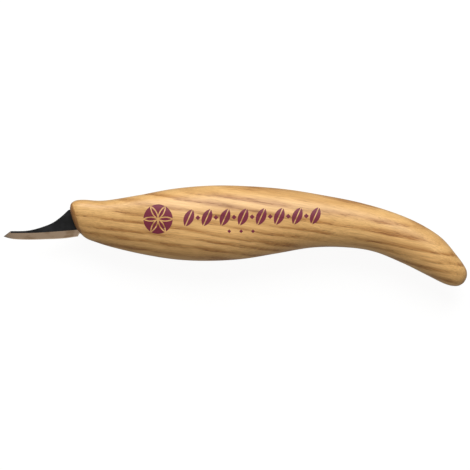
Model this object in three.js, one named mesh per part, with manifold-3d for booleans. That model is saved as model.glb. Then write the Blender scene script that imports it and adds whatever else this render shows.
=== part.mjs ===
// A small carving knife lying on its side: a short carbon-steel blade whose hidden tang is
// bedded in epoxy, in a slot in a one-piece ash handle.
//
// Millimetres. +X runs from the blade's tip to the handle's tail, +Y from the cutting edge to
// the blade's spine, and +Z up through the thickness. The knife rests on z = 0.
// Side-view points [x, y] are measured from the tip (x) and from the tail's lowest point (y).

import * as THREE from "three";
import { mergeVertices } from "three/addons/utils/BufferGeometryUtils.js";
import Module from "manifold-3d";

const LENGTH = 158.04;
const HEIGHT = 34.34;

// The handle is a ladder of cross sections. Each row holds the section's end on the back
// [x, y], its end on the belly [x, y], and half its thickness.
const HANDLE_SECTIONS = [
  [22.75, 26.7, 25.0, 19.5, 3.9],
  [23.15, 28.2, 26.3, 17.9, 4.95],
  [24.7, 29.2, 28.4, 16.2, 5.65],
  [27.6, 29.45, 31.6, 14.95, 6.15],
  [34.5, 29.2, 37.5, 13.15, 7.2],
  [46.0, 31.0, 48.0, 10.75, 8.7],
  [58.0, 33.2, 59.0, 9.05, 9.75],
  [71.0, 34.3, 70.0, 8.6, 10.15],
  [84.0, 34.05, 81.5, 9.25, 10.2],
  [97.0, 32.95, 93.0, 11.1, 10.05],
  [109.0, 31.0, 105.0, 13.1, 9.35],
  [120.0, 28.85, 116.0, 13.25, 8.55],
  [130.5, 25.95, 126.0, 11.85, 7.8],
  [140.5, 22.0, 136.0, 7.9, 7.5],
  [149.0, 16.75, 144.6, 3.65, 7.1],
  [154.6, 10.4, 150.6, 0.72, 5.9],
  [157.4, 6.4, 154.3, 0.0, 4.2],
  [158.02, 4.3, 156.5, 0.85, 2.3],
];
const TAIL_POINT = [157.7, 2.55, 0];
const SECTION_POWER = 2.3; // 2 is an ellipse; a little more is squarer
const LAND_HALF = 10; // the swell is sanded flat at this distance from the mid-plane
const NOSE_CROWN = 0.4; // how far the nose's end face bulges
const CREST_RAISE = 0.18; // how far above halfway the nose is widest, as a share of its height
const CREST_FADE = [45, 64]; // the widest line sinks back to halfway between these x
const STEPS_PER_SECTION = 4;
const POINTS_AROUND = 48;

// The blade. It is ground from the bevel line down to the cutting edge.
const BLADE_THICKNESS = 1.5;
const EDGE_THICKNESS = 0.04;
const TIP = [0, 16.93];
const CLIP_END = [2.5, 18.75];
const SPINE_SWEEP = [
  CLIP_END,
  [7.98, 18.9],
  [12.41, 19.9],
  [16.8, 21.62],
  [20.15, 24.07],
  [22.2, 25.95],
  [23.4, 26.04],
];
const CUTTING_EDGE = [
  TIP,
  [1.4, 16.44],
  [4.0, 15.98],
  [9.0, 15.82],
  [15.0, 15.98],
  [20.5, 16.26],
  [25.37, 16.92],
];
const HEEL = [CUTTING_EDGE.at(-1), [25.78, 17.68], [26.16, 18.06], [26.7, 18.42]];
const BEVEL_LINE = [[0, 18.1], [9.69, 18.14], [18.07, 18.62], [26.7, 19.34]];
const STATION_STEP = 1.1; // between the blade's cross sections
const CLIP_STATIONS = [0.15, 0.4, 0.7]; // shares of the way from the tip to the clip's end
const GRIND_END = 26.7; // the grinding wheel leaves the blade here, just inside the wood
const GRIND_RUN_OUT = 0.7;

const TANG_END = 58;
const TANG_END_TOP = 24.7;
const TANG_END_BOTTOM = 20.1;
const TANG_HOLE_X = 48;
const TANG_HOLE_RADIUS = 1.5;

// The slot for the tang, sawn into the nose, and the hairline that keeps the solids apart.
const SLOT_WIDTH = 2.4;
const SLOT_TOP = 26.5;
const SLOT_BOTTOM = 18.0;
const SLOT_END = 59;
const SLOT_START = 20; // in front of the nose, so that the cut is open
const HAIRLINE = 0.02;
const HOLE_SIDES = 24;
const HALVINGS = 40; // enough to find a point on a curve to a millionth of a millimetre

const BLADE_HALF = BLADE_THICKNESS / 2;
const EDGE_HALF = EDGE_THICKNESS / 2;

const FINISHES = {
  ash: { color: 0xd9ae78, roughness: 0.45, metalness: 0 },
  darkSteel: { color: 0x4a4744, roughness: 0.4, metalness: 0.9 },
  amberEpoxy: { color: 0x6b3d1e, roughness: 0.35, metalness: 0 },
};

// ---------------------------------------------------------------- geometry helpers

const flat = ([x, y]) => new THREE.Vector2(x, y);

// A closed surface through rings of equal length, with a fan to a point at either end.
function loft(rings, startPoint, endPoint) {
  const around = rings[0].length;
  const points = [...rings.flat(), startPoint, endPoint];
  const start = points.length - 2;
  const end = points.length - 1;
  const lastRing = (rings.length - 1) * around;
  const index = [];
  for (let j = 0; j < around; j++) {
    const next = (j + 1) % around;
    index.push(start, next, j, end, lastRing + j, lastRing + next);
    for (let base = 0; base < lastRing; base += around) {
      index.push(base + j, base + next, base + around + j);
      index.push(base + next, base + around + next, base + around + j);
    }
  }
  const geometry = new THREE.BufferGeometry().setFromPoints(points);
  geometry.setIndex(index);
  return geometry;
}

const wasm = await Module();
wasm.setup();

function solid(geometry) {
  const bare = geometry.clone();
  bare.deleteAttribute("normal");
  bare.deleteAttribute("uv");
  const merged = mergeVertices(bare);
  const vertProperties = new Float32Array(merged.attributes.position.array);
  const triVerts = new Uint32Array(merged.index.array);
  return new wasm.Manifold(new wasm.Mesh({ numProp: 3, vertProperties, triVerts }));
}

function geometryOf(manifold) {
  const mesh = manifold.getMesh();
  const geometry = new THREE.BufferGeometry();
  geometry.setAttribute("position", new THREE.BufferAttribute(mesh.vertProperties, mesh.numProp));
  geometry.setIndex(new THREE.BufferAttribute(mesh.triVerts, 1));
  geometry.computeVertexNormals();
  return geometry;
}

// The height of a side-view curve, whose x only grows, above the point x.
function heightAt(curve, x) {
  let low = 0;
  let high = 1;
  for (let halving = 0; halving < HALVINGS; halving++) {
    const middle = (low + high) / 2;
    if (curve.getPoint(middle).x < x) {
      low = middle;
    } else {
      high = middle;
    }
  }
  return curve.getPoint(low).y;
}

function chain(...curves) {
  const path = new THREE.CurvePath();
  curves.forEach((curve) => path.add(curve));
  return path;
}

// ---------------------------------------------------------------- handle

// One closed rail runs along the back, round the tail and home along the belly. Its third
// coordinate is the half thickness, which changes sign at the tail.
const backPoints = HANDLE_SECTIONS.map(([x, y, , , half]) => new THREE.Vector3(x, y, half));
const bellyPoints = HANDLE_SECTIONS.map(([, , x, y, half]) => new THREE.Vector3(x, y, -half));
const rail = new THREE.CatmullRomCurve3(
  [...backPoints, new THREE.Vector3(...TAIL_POINT), ...bellyPoints.reverse()],
  false,
  "catmullrom",
);

const bulge = (value) => Math.sign(value) * Math.abs(value) ** (2 / SECTION_POWER);

function handlePoint(along, angle) {
  const back = rail.getPoint(along / 2);
  const belly = rail.getPoint(1 - along / 2);
  const even = (1 + bulge(Math.cos(angle))) / 2;
  const raise = CREST_RAISE * (1 - THREE.MathUtils.smoothstep(back.x, ...CREST_FADE));
  const point = belly.lerp(back, even + raise * 4 * even * (1 - even));
  point.z = THREE.MathUtils.clamp(back.z * bulge(Math.sin(angle)), -LAND_HALF, LAND_HALF);
  return point;
}

function handleGeometry() {
  const ringCount = HANDLE_SECTIONS.length * STEPS_PER_SECTION;
  const rings = [];
  for (let i = 0; i < ringCount; i++) {
    const ring = [];
    for (let j = 0; j < POINTS_AROUND; j++) {
      ring.push(handlePoint(i / ringCount, (2 * Math.PI * j) / POINTS_AROUND));
    }
    rings.push(ring);
  }
  const [backX, backY, bellyX, bellyY] = HANDLE_SECTIONS[0];
  const face = new THREE.Vector2(backX - bellyX, backY - bellyY).normalize();
  const crown = new THREE.Vector3((backX + bellyX) / 2, (backY + bellyY) / 2, 0);
  crown.x -= NOSE_CROWN * face.y;
  crown.y += NOSE_CROWN * face.x;
  return loft(rings, crown, new THREE.Vector3(...TAIL_POINT));
}

// The slot as a block, made smaller all round by inset. Its front stays open.
function slotGeometry(inset) {
  const length = SLOT_END - inset - SLOT_START;
  const height = SLOT_TOP - SLOT_BOTTOM - 2 * inset;
  const block = new THREE.BoxGeometry(length, height, SLOT_WIDTH - 2 * inset);
  return block.translate(SLOT_START + length / 2, (SLOT_TOP + SLOT_BOTTOM) / 2, 0);
}

// ---------------------------------------------------------------- blade and tang

const spine = chain(
  new THREE.LineCurve(flat(TIP), flat(CLIP_END)),
  new THREE.SplineCurve(SPINE_SWEEP.map(flat)),
  new THREE.LineCurve(flat(SPINE_SWEEP.at(-1)), new THREE.Vector2(TANG_END, TANG_END_TOP)),
);
const cuttingEdge = new THREE.SplineCurve(CUTTING_EDGE.map(flat));
const belly = chain(
  cuttingEdge,
  new THREE.SplineCurve(HEEL.map(flat)),
  new THREE.LineCurve(flat(HEEL.at(-1)), new THREE.Vector2(TANG_END, TANG_END_BOTTOM)),
);
const bevelLine = new THREE.SplineCurve(BEVEL_LINE.map(flat));

// Half the blade's thickness at (x, y): full above the bevel line, ground away below it.
function halfThickness(x, y) {
  const edgeY = heightAt(cuttingEdge, x);
  const share = (y - edgeY) / (heightAt(bevelLine, x) - edgeY);
  const ground = THREE.MathUtils.lerp(EDGE_HALF, BLADE_HALF, share);
  const runOut = (BLADE_HALF * Math.max(0, x - GRIND_END)) / GRIND_RUN_OUT;
  return Math.min(BLADE_HALF, ground + runOut);
}

function bladeStations() {
  const stations = [];
  const visible = HEEL[0][0] - CLIP_END[0];
  const steps = Math.round(visible / STATION_STEP);
  for (const share of CLIP_STATIONS) {
    stations.push(CLIP_END[0] * share);
  }
  for (let i = 0; i < steps; i++) {
    stations.push(CLIP_END[0] + (visible * i) / steps);
  }
  stations.push(...HEEL.map(([x]) => x), GRIND_END + GRIND_RUN_OUT, TANG_END);
  return stations;
}

// The blade with its tang, made larger all round by grow. Each section has six corners: the
// spine, the bevel line and the edge, on one face and then on the other.
function bladeGeometry(grow) {
  const rings = bladeStations().map((x) => {
    const top = heightAt(spine, x);
    const bottom = heightAt(belly, x);
    const middle = (top + bottom) / 2;
    const bevel = x > GRIND_END ? middle : Math.min(heightAt(bevelLine, x), middle);
    const corners = [
      [top + grow, halfThickness(x, top) + grow],
      [bevel, halfThickness(x, bevel) + grow],
      [bottom - grow, halfThickness(x, bottom) + grow],
    ];
    const otherFace = corners.map(([y, z]) => [y, -z]).reverse();
    const reach = x === TANG_END ? x + grow : x;
    return [...corners, ...otherFace].map(([y, z]) => new THREE.Vector3(reach, y, z));
  });
  const tangEnd = new THREE.Vector3(TANG_END + grow, (TANG_END_TOP + TANG_END_BOTTOM) / 2, 0);
  return loft(rings, new THREE.Vector3(...TIP, 0), tangEnd);
}

function tangHoleGeometry(inset) {
  const pin = new THREE.CylinderGeometry(
    TANG_HOLE_RADIUS - inset,
    TANG_HOLE_RADIUS - inset,
    SLOT_WIDTH + BLADE_THICKNESS,
    HOLE_SIDES,
  );
  const middle = (heightAt(spine, TANG_HOLE_X) + heightAt(belly, TANG_HOLE_X)) / 2;
  return pin.rotateX(Math.PI / 2).translate(TANG_HOLE_X, middle, 0);
}

// ---------------------------------------------------------------- the three pieces

const handleBlank = solid(handleGeometry());
const slottedHandle = handleBlank.subtract(solid(slotGeometry(0)));

const drilledBlade = solid(bladeGeometry(0)).subtract(solid(tangHoleGeometry(0)));

// The epoxy fills the slot round the tang, keys through the tang's hole, and ends flush with
// the nose.
const bedding = solid(bladeGeometry(HAIRLINE)).subtract(solid(tangHoleGeometry(HAIRLINE)));
const epoxySleeve = handleBlank.intersect(solid(slotGeometry(HAIRLINE))).subtract(bedding);

function piece(name, manifold, finish) {
  const material = new THREE.MeshStandardMaterial(finish);
  const mesh = new THREE.Mesh(geometryOf(manifold), material);
  mesh.name = name;
  return mesh;
}

const knife = new THREE.Group();
knife.add(
  piece("handle", slottedHandle, FINISHES.ash),
  piece("blade", drilledBlade, FINISHES.darkSteel),
  piece("tang_epoxy", epoxySleeve, FINISHES.amberEpoxy),
);
knife.position.set(-LENGTH / 2, -HEIGHT / 2, LAND_HALF);

export default knife;
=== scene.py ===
"""The looks of a small carving knife: an ash handle, a part-blackened blade and a printed pattern.

Shapes are drawn in millimetres in the knife's side view: x from the blade's tip, y up from the
tail's lowest point, z from the mid-plane. placed() moves them into the frame, in metres.
"""

import math

import bmesh
import bpy
import numpy as np
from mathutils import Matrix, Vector
from mathutils.bvhtree import BVHTree


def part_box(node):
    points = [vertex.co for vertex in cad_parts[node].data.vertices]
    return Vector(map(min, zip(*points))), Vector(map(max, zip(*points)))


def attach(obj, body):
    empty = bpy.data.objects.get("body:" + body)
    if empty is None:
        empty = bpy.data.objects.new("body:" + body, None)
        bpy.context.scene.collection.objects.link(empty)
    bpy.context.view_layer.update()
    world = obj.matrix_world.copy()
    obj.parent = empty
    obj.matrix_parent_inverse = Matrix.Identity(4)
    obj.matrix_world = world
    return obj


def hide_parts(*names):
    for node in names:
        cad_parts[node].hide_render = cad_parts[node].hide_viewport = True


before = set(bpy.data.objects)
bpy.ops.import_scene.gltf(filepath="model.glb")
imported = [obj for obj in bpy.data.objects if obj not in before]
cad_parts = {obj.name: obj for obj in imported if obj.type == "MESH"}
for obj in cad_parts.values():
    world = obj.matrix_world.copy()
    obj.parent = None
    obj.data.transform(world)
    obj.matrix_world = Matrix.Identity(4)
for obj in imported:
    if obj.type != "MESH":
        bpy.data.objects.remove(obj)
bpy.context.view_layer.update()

MM = 0.001

# ---------------------------------------------------------------- driving dimensions, mm

# The handle's ladder of cross sections: back x, y, belly x, y, half thickness.
HANDLE_SECTIONS = [
    (22.75, 26.7, 25.0, 19.5, 3.9),
    (23.15, 28.2, 26.3, 17.9, 4.95),
    (24.7, 29.2, 28.4, 16.2, 5.65),
    (27.6, 29.45, 31.6, 14.95, 6.15),
    (34.5, 29.2, 37.5, 13.15, 7.2),
    (46.0, 31.0, 48.0, 10.75, 8.7),
    (58.0, 33.2, 59.0, 9.05, 9.75),
    (71.0, 34.3, 70.0, 8.6, 10.15),
    (84.0, 34.05, 81.5, 9.25, 10.2),
    (97.0, 32.95, 93.0, 11.1, 10.05),
    (109.0, 31.0, 105.0, 13.1, 9.35),
    (120.0, 28.85, 116.0, 13.25, 8.55),
    (130.5, 25.95, 126.0, 11.85, 7.8),
    (140.5, 22.0, 136.0, 7.9, 7.5),
    (149.0, 16.75, 144.6, 3.65, 7.1),
    (154.6, 10.4, 150.6, 0.72, 5.9),
    (157.4, 6.4, 154.3, 0.0, 4.2),
    (158.02, 4.3, 156.5, 0.85, 2.3),
]
TAIL_POINT = (157.7, 2.55, 0.0)
SECTION_POWER = 2.3
LAND_HALF = 10.0
NOSE_CROWN = 0.4
CREST_RAISE = 0.18  # how far above halfway the nose is widest, as a share of its height
CREST_FADE = (45.0, 64.0)  # the widest line sinks back to halfway between these x
RING_PITCH = 0.36
POINTS_AROUND = 176
CAP_RINGS = 10

# The blade's side-view curves. It is ground from the bevel line down to the cutting edge.
TIP = (0.0, 16.93)
CLIP_END = (2.5, 18.75)
SPINE_SWEEP = [
    CLIP_END,
    (7.98, 18.9),
    (12.41, 19.9),
    (16.8, 21.62),
    (20.15, 24.07),
    (22.2, 25.95),
    (23.4, 26.04),
]
CUTTING_EDGE = [
    TIP,
    (1.4, 16.44),
    (4.0, 15.98),
    (9.0, 15.82),
    (15.0, 15.98),
    (20.5, 16.26),
    (25.37, 16.92),
]
HEEL = [CUTTING_EDGE[-1], (25.78, 17.68), (26.16, 18.06), (26.7, 18.42)]
BEVEL_LINE = [(0.0, 18.1), (9.69, 18.14), (18.07, 18.62), (26.7, 19.34)]
TANG_END_TOP = (58.0, 24.7)
TANG_END_BOTTOM = (58.0, 20.1)
BLADE_HALF = 0.75
EDGE_HALF = 0.02
HONED_EDGE_HALF = 0.004
HONED_WIDTH = 0.22
GRIND_END = 26.7
GRIND_RUN_OUT = 0.7
SPINE_CHAMFER = 0.14
CLIP_SHARE = 0.15  # how far down the section the bevel line stays, along the clip
BLADE_PITCH = 0.2

HAIRLINE = 0.02  # stands between the epoxy and the slot's walls
SLOT_OPEN = 5.0  # how far the slot's cutter reaches in front of the nose

# The print: a rosette in a disc, and a row of leaves and diamonds.
ROSETTE_CENTRE = (53.0, 22.8)
ROSETTE_RADIUS = 4.95
ROSETTE_LINE = 0.42
LEAF_ROW = ((63.4, 23.2), (106.0, 23.9))
LEAF_COUNT = 8
LEAF_LENGTH = 6.1
LEAF_WIDTH = 3.3
LEAF_LEAN = math.radians(-24)
LEAF_RIB = 0.36
DIAMOND_SIZE = 1.7
SMALL_ROW = ((77.0, 18.7), (85.0, 18.7))
SMALL_COUNT = 3
SMALL_SIZE = 1.3
FILM_LIFT = 0.03
FILM_THICKNESS = 0.02
FILM_PITCH = 0.5
FILM_HALVINGS = 4  # the most times that a film's long edges are cut in two

# Edges sharper than these are shaded as edges.
HANDLE_SHARP = math.radians(50)
BLADE_SHARP = math.radians(8)
FILM_SHARP = math.radians(30)

# ---------------------------------------------------------------- curves and places


def spline(points, t):
    """A uniform Catmull-Rom curve through points, at each parameter in t, from 0 to 1."""
    points = np.asarray(points, float)
    before = 2 * points[:1] - points[1:2]
    after = 2 * points[-1:] - points[-2:-1]
    padded = np.vstack([before, points, after])
    place = np.clip(np.asarray(t, float), 0, 1) * (len(points) - 1)
    first = np.minimum(place.astype(int), len(points) - 2)
    f = (place - first)[:, None]
    p0, p1, p2, p3 = (padded[first + k] for k in range(4))
    linear = (p2 - p0) * f
    square = (2 * p0 - 5 * p1 + 4 * p2 - p3) * f**2
    cube = (3 * p1 - p0 - 3 * p2 + p3) * f**3
    return p1 + (linear + square + cube) / 2


DENSE = np.linspace(0, 1, 6001)
BACK = [(x, y, half) for x, y, _, _, half in HANDLE_SECTIONS]
BELLY = [(x, y, -half) for _, _, x, y, half in HANDLE_SECTIONS]
RAIL = np.array([*BACK, TAIL_POINT, *BELLY[::-1]])
rail_curve = spline(RAIL, DENSE)

handle_low, handle_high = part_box("handle")
epoxy_low, epoxy_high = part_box("tang_epoxy")

# Where the side view's zero lies in the frame: the tail's end is the handle's highest x, and
# the belly's lowest point is its lowest y.
ORIGIN = np.array(
    [
        handle_high.x - rail_curve[:, 0].max() * MM,
        handle_low.y - rail_curve[:, 1].min() * MM,
        (handle_low.z + handle_high.z) / 2,
    ]
)


def placed(points):
    """Side-view points in millimetres, as metres in the frame."""
    return np.asarray(points, float) * MM + ORIGIN


def line_height(start, end, x):
    """The height of the straight line from start to end above each x."""
    return np.interp(x, [start[0], end[0]], [start[1], end[1]])


def height_at(points, x):
    """The height of the spline through points above each x."""
    curve = spline(points, DENSE)
    return np.interp(x, curve[:, 0], curve[:, 1])


# ---------------------------------------------------------------- node graphs


class Graph:
    """Short calls that add nodes to a new material and link them."""

    def __init__(self, name):
        self.material = bpy.data.materials.new(name)
        self.material.use_nodes = True
        self.tree = self.material.node_tree
        self.shader = self.tree.nodes["Principled BSDF"]

    def put(self, socket, value):
        if isinstance(value, bpy.types.NodeSocket):
            self.tree.links.new(value, socket)
        else:
            socket.default_value = value

    def add(self, kind, inputs, out=0, **settings):
        node = self.tree.nodes.new(kind)
        for name, value in settings.items():
            setattr(node, name, value)
        for name, value in inputs.items():
            self.put(node.inputs[name], value)
        return node.outputs[out]

    def math(self, operation, *values, clamp=False):
        inputs = dict(enumerate(values))
        return self.add("ShaderNodeMath", inputs, operation=operation, use_clamp=clamp)

    def place(self, spin=(0, 0, 0), shift=(0, 0, 0)):
        """The point's place in the frame in millimetres, turned by spin and moved by shift."""
        here = self.add("ShaderNodeTexCoord", {}, "Object")
        inputs = {"Vector": here, "Scale": (1 / MM,) * 3, "Rotation": spin, "Location": shift}
        return self.add("ShaderNodeMapping", inputs)

    def noise(self, place, size, detail=2.0, roughness=0.5, seed=0.0):
        """Noise from 0 to 1 whose lumps measure size, in millimetres, along each axis."""
        inputs = {
            "Vector": place,
            "Scale": [1 / s for s in size],
            "Location": (seed, seed / 2, -seed),
        }
        inner = self.add("ShaderNodeMapping", inputs)
        settings = {"Vector": inner, "Scale": 1.0, "Detail": detail, "Roughness": roughness}
        return self.add("ShaderNodeTexNoise", settings, "Fac")

    def step(self, value, low, high, out_low=0.0, out_high=1.0):
        """A smooth step from out_low where value is low to out_high where it is high."""
        inputs = {
            "Value": value,
            "From Min": low,
            "From Max": high,
            "To Min": out_low,
            "To Max": out_high,
        }
        return self.add("ShaderNodeMapRange", inputs, interpolation_type="SMOOTHSTEP")

    def mix(self, share, first, second, blend="MIX"):
        inputs = {0: share, 6: first, 7: second}
        settings = {"data_type": "RGBA", "blend_type": blend}
        return self.add("ShaderNodeMix", inputs, 2, **settings)

    def bump(self, height, depth_mm):
        return self.add("ShaderNodeBump", {"Height": height, "Distance": depth_mm * MM})

    def finish(self, **inputs):
        """Sets the shader's sockets, named with underscores for spaces."""
        for name, value in inputs.items():
            self.put(self.shader.inputs[name.replace("_", " ")], value)
        return self.material


def srgb(red, green, blue):
    """An sRGB colour, 0 to 255, as linear RGBA."""
    return (*(((c / 255 + 0.055) / 1.055) ** 2.4 for c in (red, green, blue)), 1.0)


# ---------------------------------------------------------------- ash

GRAIN_SLOPE = math.radians(8.6)
GRAIN_BEND = 0.0005  # how fast the grain's slope grows along the knife, per mm
GRAIN_DIVE = math.radians(1.5)
PITH = (0.0, -130.0, -14.0)  # the middle of the tree, beside the knife's middle, mm
RING_SPACING = 3.1
ASH_LIGHT = srgb(235, 185, 115)
ASH_BAND = srgb(180, 120, 52)
ASH_PORE = srgb(138, 86, 36)
END_GRAIN = srgb(160, 106, 52)
SHADE_DEPTHS = (("Red", 0.85), ("Green", 1.05), ("Blue", 1.4))  # darker wood is also browner
END_GRAIN_FADE = (0.6, 1.2)  # the end grain's tint fades out between these depths, mm


class AshField:
    """Growth rings, pores, fibres and patches of painted sheen as sockets of a graph, all in the solid
    wood.
    """

    def __init__(self, graph):
        shift = tuple(-p for p in PITH)
        straight = graph.place(spin=(0, GRAIN_DIVE, GRAIN_SLOPE), shift=shift)
        split = {"Vector": straight}
        along, up, out = (graph.add("ShaderNodeSeparateXYZ", split, axis) for axis in "XYZ")
        up = graph.math("MULTIPLY_ADD", graph.math("POWER", along, 2.0), GRAIN_BEND, up)
        self.wood = graph.add("ShaderNodeCombineXYZ", {"X": along, "Y": up, "Z": out})
        squares = [graph.math("POWER", value, 2.0) for value in (up, out)]
        radius = graph.math("SQRT", graph.math("ADD", *squares))
        self.streak = graph.noise(self.wood, (7, 0.45, 0.45), detail=3, roughness=0.6, seed=9)
        warps = (
            (graph.noise(self.wood, (60, 9, 12), detail=2, seed=1), 4.0),
            (graph.noise(self.wood, (15, 3, 4), detail=3, seed=2), 1.5),
            (self.streak, 0.8),
        )
        for noise, reach in warps:
            radius = graph.math("MULTIPLY_ADD", noise, reach, radius)
        ring = graph.math("DIVIDE", radius, RING_SPACING)
        within = graph.math("FRACT", ring)
        rise = graph.step(within, 0.0, 0.2)
        fall = graph.step(within, 0.28, 0.82, 1.0, 0.0)
        strength = graph.noise(self.wood, (22, 3.5, 5), detail=2, seed=7)
        varied = graph.step(strength, 0.35, 0.62, 0.2, 1.0)
        ragged = graph.step(self.streak, 0.3, 0.65, 0.55, 1.0)
        shape = graph.math("MULTIPLY", rise, fall)
        self.band = graph.math("MULTIPLY", shape, graph.math("MULTIPLY", varied, ragged))
        dashes = graph.noise(self.wood, (5.0, 0.28, 0.28), detail=2, roughness=0.6, seed=3)
        gate = graph.math("MULTIPLY_ADD", self.band, -0.2, 0.68)
        self.pore = graph.step(graph.math("SUBTRACT", dashes, gate), 0.0, 0.09)
        self.fibre = graph.noise(self.wood, (12, 0.32, 0.32), detail=4, roughness=0.7, seed=5)
        # Broad patches that make the wood a little lighter or darker: painted sheen, fixed in the
        # wood.
        self.painted_sheen = graph.noise(self.wood, (24, 6, 8), detail=2, seed=11)
        self.relief = graph.math(
            "MULTIPLY_ADD", self.pore, -1.0, graph.math("MULTIPLY", self.fibre, 0.4)
        )


def ash_material():
    graph = Graph("ash")
    field = AshField(graph)
    banded = graph.mix(field.band, ASH_LIGHT, ASH_BAND)
    pored = graph.mix(graph.math("MULTIPLY", field.pore, 0.55), banded, ASH_PORE)
    fibre_tone_and_sheen = graph.step(field.fibre, 0.25, 0.75, 0.78, 1.2)
    # The fibres' tone is multiplied by the broad patches of painted sheen.
    fibre_tone_and_sheen = graph.math("MULTIPLY", fibre_tone_and_sheen, graph.step(field.painted_sheen, 0.3, 0.7, 0.9, 1.06))
    parts = {
        part: graph.math("MULTIPLY_ADD", fibre_tone_and_sheen, depth, 1 - depth) for part, depth in SHADE_DEPTHS
    }
    tone = graph.mix(1.0, pored, graph.add("ShaderNodeCombineColor", parts), blend="MULTIPLY")
    tone = graph.mix(end_grain_share(graph), tone, END_GRAIN)
    roughness = graph.math("MULTIPLY_ADD", field.pore, 0.12, 0.46)
    return graph.finish(
        Base_Color=tone,
        Roughness=roughness,
        Normal=graph.bump(field.relief, 0.03),
        Coat_Weight=0.45,
        Coat_Roughness=0.42,
    )


def end_grain_share(graph):
    """How much a point belongs to the nose's end grain, which soaks up more finish."""
    rim_top, rim_foot = placed([HANDLE_SECTIONS[0][0:2] + (0,), HANDLE_SECTIONS[0][2:4] + (0,)])
    along = (rim_foot - rim_top) / np.linalg.norm(rim_foot - rim_top)
    inward = Vector((-along[1], along[0], 0))
    here = graph.place()
    spot = {"Vector": here}
    wobble = graph.noise(here, (1.5, 2.5, 2.5), detail=2, seed=13)
    depth = graph.math("MULTIPLY_ADD", wobble, -0.9, -inward.dot(Vector(rim_top / MM)))
    for axis, part in zip("XY", inward):
        depth = graph.math("MULTIPLY_ADD", graph.add("ShaderNodeSeparateXYZ", spot, axis), part, depth)
    return graph.step(depth, *END_GRAIN_FADE, 0.85, 0.0)


# ---------------------------------------------------------------- steel, epoxy and ink


def oxide_material():
    graph = Graph("black_oxide")
    place = graph.place()
    blotch = graph.noise(place, (3.0, 3.0, 3.0), detail=4, roughness=0.6)
    tone = graph.mix(graph.step(blotch, 0.35, 0.7), srgb(10, 11, 12), srgb(22, 23, 27))
    grit = graph.noise(place, (0.12, 0.12, 0.12), detail=2)
    roughness = graph.step(blotch, 0.3, 0.7, 0.34, 0.48)
    return graph.finish(
        Base_Color=tone,
        Roughness=roughness,
        Normal=graph.bump(grit, 0.006),
        Specular_IOR_Level=0.4,
    )


STAIN_X = 22.4  # the ground steel is most stained here
STAIN_REACH = 2.4  # how far to either side of there the stain fades out, mm


def ground_steel_material():
    graph = Graph("ground_steel")
    place = graph.place()
    lines = graph.noise(place, (0.06, 5.0, 2.0), detail=3, roughness=0.7)
    stain = graph.noise(place, (5.0, 2.2, 3.0), detail=3, seed=4)
    clean = graph.mix(lines, srgb(172, 153, 135), srgb(200, 182, 163))
    along = graph.add("ShaderNodeSeparateXYZ", {"Vector": place}, "X")
    from_stain = graph.math("ABSOLUTE", graph.math("SUBTRACT", along, STAIN_X + ORIGIN[0] / MM))
    worn = graph.step(from_stain, 0.8, STAIN_REACH, 0.2, 0.0)
    share = graph.step(graph.math("ADD", stain, worn), 0.54, 0.78, 0.0, 0.6)
    tone = graph.mix(share, clean, srgb(140, 116, 90))
    roughness = graph.math("MULTIPLY_ADD", lines, 0.2, 0.3)
    return graph.finish(
        Base_Color=tone,
        Roughness=roughness,
        Normal=graph.bump(lines, 0.004),
        Metallic=1.0,
    )


def honed_steel_material():
    graph = Graph("honed_steel")
    lines = graph.noise(graph.place(), (0.05, 3.0, 2.0), detail=2)
    tone = graph.mix(lines, srgb(184, 172, 160), srgb(214, 204, 194))
    return graph.finish(
        Base_Color=tone,
        Roughness=graph.math("MULTIPLY_ADD", lines, 0.12, 0.16),
        Metallic=1.0,
    )


def epoxy_material():
    graph = Graph("amber_epoxy")
    place = graph.place()
    cloud = graph.noise(place, (1.2, 1.2, 1.2), detail=3)
    tone = graph.mix(cloud, srgb(96, 54, 26), srgb(142, 88, 44))
    return graph.finish(
        Base_Color=tone,
        Roughness=graph.step(cloud, 0.3, 0.7, 0.22, 0.4),
        Normal=graph.bump(cloud, 0.05),
        Coat_Weight=0.5,
        Coat_Roughness=0.15,
    )


def ink_material():
    graph = Graph("maroon_ink")
    field = AshField(graph)
    tone = graph.mix(field.fibre, srgb(112, 26, 50), srgb(134, 38, 64))
    worn = graph.math("MULTIPLY", field.pore, 0.35)
    tone = graph.mix(worn, tone, srgb(92, 24, 34))
    return graph.finish(
        Base_Color=tone,
        Roughness=graph.math("MULTIPLY_ADD", field.fibre, 0.2, 0.4),
        Normal=graph.bump(field.relief, 0.02),
    )


# ---------------------------------------------------------------- meshes


def add_object(name, data):
    made = bpy.data.objects.new(name, data)
    bpy.context.scene.collection.objects.link(made)
    return made


def smooth(mesh):
    mesh.polygons.foreach_set("use_smooth", [True] * len(mesh.polygons))


def mesh_object(name, vertices, faces, materials, face_materials=None):
    mesh = bpy.data.meshes.new(name)
    mesh.from_pydata([tuple(v) for v in vertices], [], faces)
    for material in materials:
        mesh.materials.append(material)
    if face_materials is not None:
        mesh.polygons.foreach_set("material_index", face_materials)
    smooth(mesh)
    mesh.update()
    return add_object(name, mesh)


def loft(rings, start, end):
    """Vertices and faces of a closed surface through rings, with a fan to a point at each end."""
    count, around = len(rings), len(rings[0])
    vertices = np.vstack([np.reshape(rings, (-1, 3)), [start], [end]])
    start_index = count * around
    last = (count - 1) * around
    faces = []
    for j in range(around):
        beside = (j + 1) % around
        faces.append((start_index, beside, j))
        faces.append((start_index + 1, last + j, last + beside))
    for base in range(0, last, around):
        for j in range(around):
            beside = (j + 1) % around
            corners = (base + j, base + beside, base + around + beside, base + around + j)
            faces.append(corners)
    return vertices, faces


def evaluated_copy(source, name):
    """A new object with source's modifiers applied, in source's place."""
    graph = bpy.context.evaluated_depsgraph_get()
    mesh = bpy.data.meshes.new_from_object(source.evaluated_get(graph))
    mesh.name = name
    bpy.data.objects.remove(source)
    return add_object(name, mesh)


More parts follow.
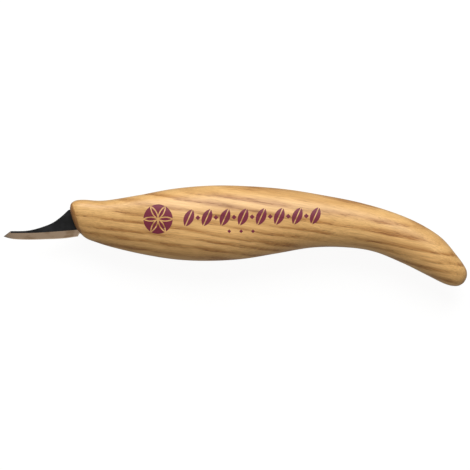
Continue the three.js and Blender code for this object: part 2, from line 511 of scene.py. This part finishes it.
def box_object(name, low, high):
    made = bmesh.new()
    bmesh.ops.create_cube(made, size=1)
    size = high - low
    middle = (low + high) / 2
    for vertex in made.verts:
        vertex.co = Vector(a * b for a, b in zip(vertex.co, size)) + middle
    mesh = bpy.data.meshes.new(name)
    made.to_mesh(mesh)
    made.free()
    return add_object(name, mesh)


# ---------------------------------------------------------------- handle


def bulge(values):
    return np.sign(values) * np.abs(values) ** (2 / SECTION_POWER)


def handle_rings():
    """Rings an even distance apart along the back, from the nose's rim to near the tail point."""
    half_rail = rail_curve[: len(DENSE) // 2 + 1]
    steps = np.linalg.norm(np.diff(half_rail[:, :2], axis=0), axis=1)
    travelled = np.concatenate([[0], np.cumsum(steps)])
    count = int(travelled[-1] / RING_PITCH)
    along = np.interp(
        np.linspace(0, travelled[-1], count, endpoint=False),
        travelled,
        DENSE[: len(half_rail)],
    )
    back = spline(RAIL, along)
    belly = spline(RAIL, 1 - along)
    angles = np.linspace(0, 2 * math.pi, POINTS_AROUND, endpoint=False)
    even = (1 + bulge(np.cos(angles))) / 2
    faded = np.clip((back[:, 0] - CREST_FADE[0]) / (CREST_FADE[1] - CREST_FADE[0]), 0, 1)
    raised = CREST_RAISE * (1 - faded**2 * (3 - 2 * faded))
    share = even + raised[:, None] * 4 * even * (1 - even)
    side = belly[:, None, :2] + (back - belly)[:, None, :2] * share[:, :, None]
    out = back[:, 2, None] * bulge(np.sin(angles))[None]
    return np.dstack([side, np.clip(out, -LAND_HALF, LAND_HALF)])


def nose_rings(rim):
    """The nose's crowned end face, from next to its middle out to the rim."""
    middle = rim.mean(axis=0)
    chord = rim[0] - rim[len(rim) // 2]
    outward = np.array([-chord[1], chord[0], 0]) / np.linalg.norm(chord)
    rings = []
    for k in range(1, CAP_RINGS):
        share = k / CAP_RINGS
        rise = outward * NOSE_CROWN * (1 - share**2)
        rings.append(middle + (rim - middle) * share + rise)
    return np.array(rings), middle + outward * NOSE_CROWN


def make_handle():
    sides = handle_rings()
    cap, crown = nose_rings(sides[0])
    vertices, faces = loft(np.concatenate([cap, sides]), crown, TAIL_POINT)
    blank = mesh_object("handle_blank", placed(vertices), faces, [ash_material()])
    gap = Vector((0, HAIRLINE * MM, HAIRLINE * MM))
    far = Vector((HAIRLINE * MM, 0, 0))
    low = epoxy_low - gap - Vector((SLOT_OPEN * MM, 0, 0))
    cutter = box_object("slot_cutter", low, epoxy_high + gap + far)
    cut = blank.modifiers.new("slot", "BOOLEAN")
    cut.operation = "DIFFERENCE"
    cut.solver = "EXACT"
    cut.object = cutter
    handle = evaluated_copy(blank, "ash_handle")
    bpy.data.objects.remove(cutter)
    handle.data.set_sharp_from_angle(angle=HANDLE_SHARP)
    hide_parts("handle")
    return handle


# ---------------------------------------------------------------- blade


def ground_half(x, y):
    """Half the blade's thickness: full above the bevel line, ground away below it."""
    edge = height_at(CUTTING_EDGE, x)
    share = (y - edge) / (height_at(BEVEL_LINE, x) - edge)
    ground = EDGE_HALF + (BLADE_HALF - EDGE_HALF) * share
    run_out = BLADE_HALF * np.maximum(0, x - GRIND_END) / GRIND_RUN_OUT
    return np.minimum(BLADE_HALF, ground + run_out)


def outline(x):
    """The heights of the blade's spine, bevel line and lower edge at each x."""
    clip = line_height(TIP, CLIP_END, x)
    tang_top = line_height(SPINE_SWEEP[-1], TANG_END_TOP, x)
    sweep = height_at(SPINE_SWEEP, x)
    top = np.where(x < CLIP_END[0], clip, np.where(x > SPINE_SWEEP[-1][0], tang_top, sweep))
    tang_bottom = line_height(HEEL[-1], TANG_END_BOTTOM, x)
    heel = height_at(HEEL, x)
    edge = height_at(CUTTING_EDGE, x)
    bottom = np.where(x < HEEL[0][0], edge, np.where(x > HEEL[-1][0], tang_bottom, heel))
    bevel = np.where(x > GRIND_END, (top + bottom) / 2, height_at(BEVEL_LINE, x))
    return top, np.minimum(bevel, top - CLIP_SHARE * (top - bottom)), bottom


def blade_stations():
    steps = int((HEEL[-1][0] - TIP[0]) / BLADE_PITCH)
    fine = np.linspace(TIP[0], HEEL[-1][0], steps + 1)[1:]
    marks = [CLIP_END[0], *(x for x, _ in HEEL), GRIND_END + GRIND_RUN_OUT, TANG_END_TOP[0]]
    return np.unique(np.concatenate([fine, marks]))


OXIDE, GROUND, HONED = range(3)  # the blade's material slots


def strip_kinds(station):
    """The material of each strip around the blade at x = station, in the order of its corners."""
    flat = OXIDE if station >= CLIP_END[0] else GROUND
    face = [OXIDE, flat, GROUND, HONED]
    strips = [*face, HONED, *face[::-1], OXIDE]
    if station > GRIND_END:
        return [OXIDE] * len(strips)
    return strips


def face_kinds(x):
    """The material of every face of the blade, in the order in which loft makes them."""
    ends = zip(strip_kinds(x[0]), strip_kinds(x[-1]))
    fans = [kind for pair in ends for kind in pair]
    sides = [kind for station in x[:-1] for kind in strip_kinds(station)]
    return fans + sides


def make_blade():
    x = blade_stations()
    top, bevel, bottom = outline(x)
    chamfer = np.minimum(SPINE_CHAMFER, 0.5 * ground_half(x, top))
    visible = x < HEEL[0][0]
    honed = np.where(visible, np.minimum(HONED_WIDTH, (bevel - bottom) / 3), (bevel - bottom) / 3)
    edge_half = np.where(visible, HONED_EDGE_HALF, ground_half(x, bottom))
    face = [
        (top, ground_half(x, top) - chamfer),
        (top - chamfer, ground_half(x, top - chamfer)),
        (bevel, ground_half(x, bevel)),
        (bottom + honed, ground_half(x, bottom + honed)),
        (bottom, edge_half),
    ]
    corners = [*face, *((y, -half) for y, half in face[::-1])]
    rings = np.array([np.column_stack([x, y, half]) for y, half in corners]).swapaxes(0, 1)
    tang_end = (TANG_END_TOP[0], (TANG_END_TOP[1] + TANG_END_BOTTOM[1]) / 2, 0)
    vertices, faces = loft(rings, (*TIP, 0), tang_end)
    materials = [oxide_material(), ground_steel_material(), honed_steel_material()]
    blade = mesh_object("steel_blade", placed(vertices), faces, materials, face_kinds(x))
    blade.data.set_sharp_from_angle(angle=BLADE_SHARP)
    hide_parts("blade")
    return blade


# ---------------------------------------------------------------- print

ARC_STEPS = 15


def arc(centre, radius, start, end):
    angles = np.linspace(start, end, ARC_STEPS)
    return np.array(centre) + radius * np.column_stack([np.cos(angles), np.sin(angles)])


def leaf(centre, length, width, lean, rib=0.0):
    """The two halves of a pointed leaf, either side of its rib, leaning from upright."""
    half = length / 2
    bulge_out = (width - rib) / 2
    radius = (half**2 + bulge_out**2) / (2 * bulge_out)
    reach = math.asin(half / radius)
    edge = arc((width / 2 - radius, 0), radius, -reach, reach)
    turn = np.array([[math.cos(lean), math.sin(lean)], [-math.sin(lean), math.cos(lean)]])
    if not rib:
        return [np.vstack([edge[:-1], -edge[:-1]]) @ turn + centre]
    return [edge @ turn + centre, -edge @ turn + centre]


def far_crossing(angles, hub, distance, reach):
    """How far out rays from the middle leave a circle of radius reach, whose own middle is at
    the angle hub and the given distance."""
    off = angles - hub
    return distance * np.cos(off) + np.sqrt(reach**2 - (distance * np.sin(off)) ** 2)


def rosette():
    """A compass rosette in a disc: six petals, and the six chips between them."""
    centre = np.array(ROSETTE_CENTRE)
    radius = ROSETTE_RADIUS
    sixth = math.pi / 3
    petal_width = 2 * radius * (1 - math.cos(sixth / 2)) - ROSETTE_LINE
    clear = radius + ROSETTE_LINE / 2
    corner = math.acos(1 - clear**2 / (2 * radius**2))
    shapes = []
    for k in range(6):
        spoke = k * sixth
        middle = centre + radius / 2 * np.array([math.cos(spoke), math.sin(spoke)])
        shapes += leaf(middle, radius - 2 * ROSETTE_LINE, petal_width, spoke - math.pi / 2)
        ahead, behind = spoke + 2 * sixth, spoke - sixth
        across = np.linspace(behind + corner, ahead - corner, ARC_STEPS)
        inner = np.maximum(*(far_crossing(across, hub, radius, clear) for hub in (ahead, behind)))
        rays = np.column_stack([np.cos(across), np.sin(across)])
        chip = np.vstack([rays * radius, (rays * inner[:, None])[-2:0:-1]])
        shapes.append(chip + centre)
    return shapes


def diamond(centre, size):
    corners = np.array([(0.5, 0), (0, 0.5), (-0.5, 0), (0, -0.5)])
    return corners * size + centre


def along_row(row, count):
    start, end = (np.array(p) for p in row)
    return [start + (end - start) * k / (count - 1) for k in range(count)]


def make_film(name, shapes, handle, material):
    """A thin film of ink that lies on the handle's upper side."""
    flat = bmesh.new()
    for points in shapes:
        corners = [flat.verts.new((x, y, 0)) for x, y in points]
        flat.faces.new(corners)
    bmesh.ops.triangulate(flat, faces=flat.faces[:])
    for _ in range(FILM_HALVINGS):
        long_edges = [e for e in flat.edges if e.calc_length() > FILM_PITCH]
        if not long_edges:
            break
        bmesh.ops.subdivide_edges(flat, edges=long_edges, cuts=1)
        bmesh.ops.triangulate(flat, faces=flat.faces[:])
    tree = BVHTree.FromObject(handle, bpy.context.evaluated_depsgraph_get())
    above = handle_high.z + 1
    for vertex in flat.verts:
        x, y, _ = placed((vertex.co.x, vertex.co.y, 0))
        hit = tree.ray_cast(Vector((x, y, above)), Vector((0, 0, -1)))
        vertex.co = hit[0] + hit[1] * FILM_LIFT * MM
    mesh = bpy.data.meshes.new(name)
    flat.to_mesh(mesh)
    flat.free()
    mesh.materials.append(material)
    smooth(mesh)
    film = add_object(name, mesh)
    thick = film.modifiers.new("thickness", "SOLIDIFY")
    thick.thickness = FILM_THICKNESS * MM
    thick.offset = -1
    film = evaluated_copy(film, name)
    film.data.set_sharp_from_angle(angle=FILM_SHARP)
    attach(film, "root")
    return film


def make_print(handle):
    ink = ink_material()
    make_film("print_rosette", rosette(), handle, ink)
    leaves = []
    for spot in along_row(LEAF_ROW, LEAF_COUNT):
        leaves += leaf(spot, LEAF_LENGTH, LEAF_WIDTH, LEAF_LEAN, LEAF_RIB)
    make_film("print_leaves", leaves, handle, ink)
    spots = along_row(LEAF_ROW, 2 * LEAF_COUNT - 1)[1::2]
    dots = [diamond(spot, DIAMOND_SIZE) for spot in spots]
    dots += [diamond(spot, SMALL_SIZE) for spot in along_row(SMALL_ROW, SMALL_COUNT)]
    make_film("print_diamonds", dots, handle, ink)


# ---------------------------------------------------------------- stage, lights and camera

CAMERA_LENS = 180.0
CAMERA_SENSOR = 36.0
VIEW_WIDTH = 0.16028
VIEW_CENTRE = (-0.000086, 0.000264)
FLOOR_SIZE = 4.0
FLOOR_TONE = (0.14, 0.14, 0.14, 1.0)
FLOOR_GLOW = 0.92
WHITE = (1.0, 1.0, 1.0, 1.0)
LIGHT_DISTANCE = 1.1
KEY_ANGLE = math.radians(48)
KEY_SIZE = 1.1
KEY_POWER = 13.0
KEY_COLOUR = (1.0, 1.0, 1.0)
FILL_ANGLE = math.radians(-36)
FILL_SIZE = 0.8
FILL_POWER = 0.9
FILL_COLOUR = (1.0, 0.82, 0.62)
SKY = 0.23


def make_stage():
    graph = Graph("pale_floor")
    graph.finish(Base_Color=FLOOR_TONE, Roughness=0.9, Specular_IOR_Level=0.0)
    graph.finish(Emission_Color=WHITE, Emission_Strength=FLOOR_GLOW)
    reach = FLOOR_SIZE / 2
    corners = [(-reach, -reach, 0), (reach, -reach, 0), (reach, reach, 0), (-reach, reach, 0)]
    floor = mesh_object("floor", corners, [(0, 1, 2, 3)], [graph.material])
    floor.visible_diffuse = False
    floor.visible_glossy = False


def make_world():
    """A white room to the camera, and a soft even fill to everything else."""
    world = bpy.data.worlds.new("studio")
    world.use_nodes = True
    nodes, links = world.node_tree.nodes, world.node_tree.links
    path = nodes.new("ShaderNodeLightPath")
    level = nodes.new("ShaderNodeMapRange")
    level.inputs["To Min"].default_value = SKY
    links.new(path.outputs["Is Camera Ray"], level.inputs["Value"])
    background = nodes["Background"]
    background.inputs["Color"].default_value = WHITE
    links.new(level.outputs["Result"], background.inputs["Strength"])
    bpy.context.scene.world = world


def softbox(name, angle, size, power, colour):
    """A round light that faces the knife, leaning by angle from straight above towards +Y."""
    light = bpy.data.lights.new(name, "AREA")
    light.shape = "DISK"
    light.size = size
    light.energy = power
    light.color = colour
    lamp = add_object(name, light)
    towards = Vector((0, math.sin(angle), math.cos(angle)))
    lamp.location = Vector((0, 0, ORIGIN[2])) + towards * LIGHT_DISTANCE
    lamp.rotation_euler = towards.to_track_quat("Z", "Y").to_euler()


def make_camera():
    camera = bpy.data.cameras.new("camera")
    camera.lens = CAMERA_LENS
    camera.sensor_width = CAMERA_SENSOR
    eye = add_object("camera", camera)
    distance = VIEW_WIDTH * CAMERA_LENS / CAMERA_SENSOR
    eye.location = (*VIEW_CENTRE, ORIGIN[2] + distance)
    bpy.context.scene.camera = eye


handle = make_handle()
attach(handle, "root")
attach(make_blade(), "root")
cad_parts["tang_epoxy"].data.materials.clear()
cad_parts["tang_epoxy"].data.materials.append(epoxy_material())
make_print(handle)

softbox("key", KEY_ANGLE, KEY_SIZE, KEY_POWER, KEY_COLOUR)
softbox("fill", FILL_ANGLE, FILL_SIZE, FILL_POWER, FILL_COLOUR)
make_stage()
make_world()
make_camera()
bpy.context.scene.view_settings.view_transform = "Standard"
